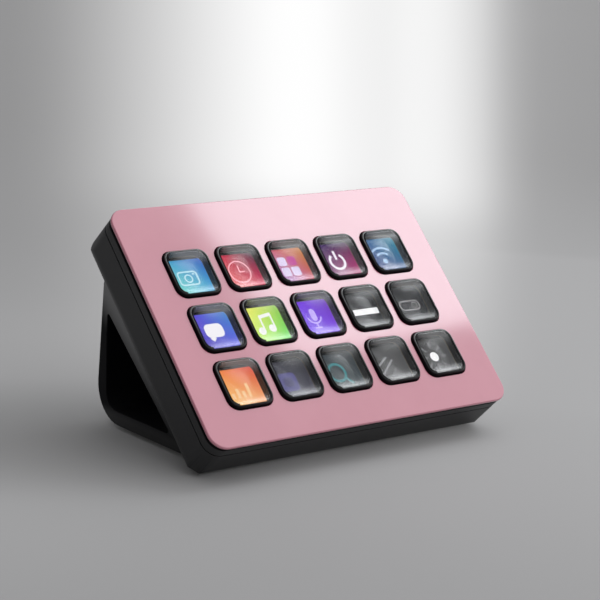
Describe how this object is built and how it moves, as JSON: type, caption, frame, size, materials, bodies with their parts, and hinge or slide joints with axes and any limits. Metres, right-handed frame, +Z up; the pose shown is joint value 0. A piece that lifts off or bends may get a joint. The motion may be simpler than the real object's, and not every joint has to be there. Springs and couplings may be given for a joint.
{
  "type": "macro keypad",
  "caption": "Desk keypad: a pink plate with a grid of clear dished square keys over a display, black tapered housing, looped wedge stand.",
  "frame": {"origin": "on the table, under the middle of the object's bounding box", "axes": "+X to the user's right along the keypad's width, +Y to the rear, +Z up; the deck faces -Y and up, 45 degrees from level"},
  "size_m": [0.118, 0.0747, 0.071],
  "materials": {
    "pink_plate": "satin powder-pink plastic",
    "frame_plastic": "fine matte black plastic",
    "housing_plastic": "fine matte black plastic",
    "stand_plastic": "fine matte black plastic",
    "clear_cap": "clear, polished",
    "key_rim": "gloss black",
    "mat_rubber": "matte silicone",
    "film": "amber film",
    "connector_plastic": "ivory moulding",
    "display_glass": "dark glass",
    "tray_metal": "satin",
    "flex": "amber film",
    "spacer_plastic": "white moulding",
    "board": "green solder resist",
    "chip_plastic": "moulded epoxy",
    "socket_metal": "satin",
    "tongue_plastic": "moulded",
    "screw_steel": "zinc plated",
    "pad_rubber": "matte rubber"
  },
  "bodies": {
    "deck_and_stand": {"faceplate": "pink_plate", "front_frame": "frame_plastic", "rear_housing": "housing_plastic", "rubber_key_mat": "mat_rubber", "contact_film": "film", "film_connector": "connector_plastic", "display_glass": "display_glass", "display_tray": "tray_metal", "display_flex": "flex", "display_connector": "connector_plastic", "display_spacer": "spacer_plastic", "main_board": "board", "microcontroller": "chip_plastic", "memory_chips": "chip_plastic", "usb_c_shell": "socket_metal", "usb_c_tongue": "tongue_plastic", "housing_screws": "screw_steel", "stand": "stand_plastic", "stand_base_pad": "pad_rubber"},
    "key_r1c1": {"key_cap_r1c1": "clear_cap", "key_rim_r1c1": "key_rim"},
    "key_r1c2": {"key_cap_r1c2": "clear_cap", "key_rim_r1c2": "key_rim"},
    "key_r1c3": {"key_cap_r1c3": "clear_cap", "key_rim_r1c3": "key_rim"},
    "key_r1c4": {"key_cap_r1c4": "clear_cap", "key_rim_r1c4": "key_rim"},
    "key_r1c5": {"key_cap_r1c5": "clear_cap", "key_rim_r1c5": "key_rim"},
    "key_r2c1": {"key_cap_r2c1": "clear_cap", "key_rim_r2c1": "key_rim"},
    "key_r2c2": {"key_cap_r2c2": "clear_cap", "key_rim_r2c2": "key_rim"},
    "key_r2c3": {"key_cap_r2c3": "clear_cap", "key_rim_r2c3": "key_rim"},
    "key_r2c4": {"key_cap_r2c4": "clear_cap", "key_rim_r2c4": "key_rim"},
    "key_r2c5": {"key_cap_r2c5": "clear_cap", "key_rim_r2c5": "key_rim"},
    "key_r3c1": {"key_cap_r3c1": "clear_cap", "key_rim_r3c1": "key_rim"},
    "key_r3c2": {"key_cap_r3c2": "clear_cap", "key_rim_r3c2": "key_rim"},
    "key_r3c3": {"key_cap_r3c3": "clear_cap", "key_rim_r3c3": "key_rim"},
    "key_r3c4": {"key_cap_r3c4": "clear_cap", "key_rim_r3c4": "key_rim"},
    "key_r3c5": {"key_cap_r3c5": "clear_cap", "key_rim_r3c5": "key_rim"}
  },
  "joints": [
    {"name": "press_r1c1", "type": "slide", "parent": "deck_and_stand", "child": "key_r1c1", "axis": [0, 0.7071, -0.7071], "range_m": [0, 0.0007], "stiffness_N_per_m": 600, "springref_m": -0.0004},
    {"name": "press_r1c2", "type": "slide", "parent": "deck_and_stand", "child": "key_r1c2", "axis": [0, 0.7071, -0.7071], "range_m": [0, 0.0007], "stiffness_N_per_m": 600, "springref_m": -0.0004},
    {"name": "press_r1c3", "type": "slide", "parent": "deck_and_stand", "child": "key_r1c3", "axis": [0, 0.7071, -0.7071], "range_m": [0, 0.0007], "stiffness_N_per_m": 600, "springref_m": -0.0004},
    {"name": "press_r1c4", "type": "slide", "parent": "deck_and_stand", "child": "key_r1c4", "axis": [0, 0.7071, -0.7071], "range_m": [0, 0.0007], "stiffness_N_per_m": 600, "springref_m": -0.0004},
    {"name": "press_r1c5", "type": "slide", "parent": "deck_and_stand", "child": "key_r1c5", "axis": [0, 0.7071, -0.7071], "range_m": [0, 0.0007], "stiffness_N_per_m": 600, "springref_m": -0.0004},
    {"name": "press_r2c1", "type": "slide", "parent": "deck_and_stand", "child": "key_r2c1", "axis": [0, 0.7071, -0.7071], "range_m": [0, 0.0007], "stiffness_N_per_m": 600, "springref_m": -0.0004},
    {"name": "press_r2c2", "type": "slide", "parent": "deck_and_stand", "child": "key_r2c2", "axis": [0, 0.7071, -0.7071], "range_m": [0, 0.0007], "stiffness_N_per_m": 600, "springref_m": -0.0004},
    {"name": "press_r2c3", "type": "slide", "parent": "deck_and_stand", "child": "key_r2c3", "axis": [0, 0.7071, -0.7071], "range_m": [0, 0.0007], "stiffness_N_per_m": 600, "springref_m": -0.0004},
    {"name": "press_r2c4", "type": "slide", "parent": "deck_and_stand", "child": "key_r2c4", "axis": [0, 0.7071, -0.7071], "range_m": [0, 0.0007], "stiffness_N_per_m": 600, "springref_m": -0.0004},
    {"name": "press_r2c5", "type": "slide", "parent": "deck_and_stand", "child": "key_r2c5", "axis": [0, 0.7071, -0.7071], "range_m": [0, 0.0007], "stiffness_N_per_m": 600, "springref_m": -0.0004},
    {"name": "press_r3c1", "type": "slide", "parent": "deck_and_stand", "child": "key_r3c1", "axis": [0, 0.7071, -0.7071], "range_m": [0, 0.0007], "stiffness_N_per_m": 600, "springref_m": -0.0004},
    {"name": "press_r3c2", "type": "slide", "parent": "deck_and_stand", "child": "key_r3c2", "axis": [0, 0.7071, -0.7071], "range_m": [0, 0.0007], "stiffness_N_per_m": 600, "springref_m": -0.0004},
    {"name": "press_r3c3", "type": "slide", "parent": "deck_and_stand", "child": "key_r3c3", "axis": [0, 0.7071, -0.7071], "range_m": [0, 0.0007], "stiffness_N_per_m": 600, "springref_m": -0.0004},
    {"name": "press_r3c4", "type": "slide", "parent": "deck_and_stand", "child": "key_r3c4", "axis": [0, 0.7071, -0.7071], "range_m": [0, 0.0007], "stiffness_N_per_m": 600, "springref_m": -0.0004},
    {"name": "press_r3c5", "type": "slide", "parent": "deck_and_stand", "child": "key_r3c5", "axis": [0, 0.7071, -0.7071], "range_m": [0, 0.0007], "stiffness_N_per_m": 600, "springref_m": -0.0004}
  ]
}
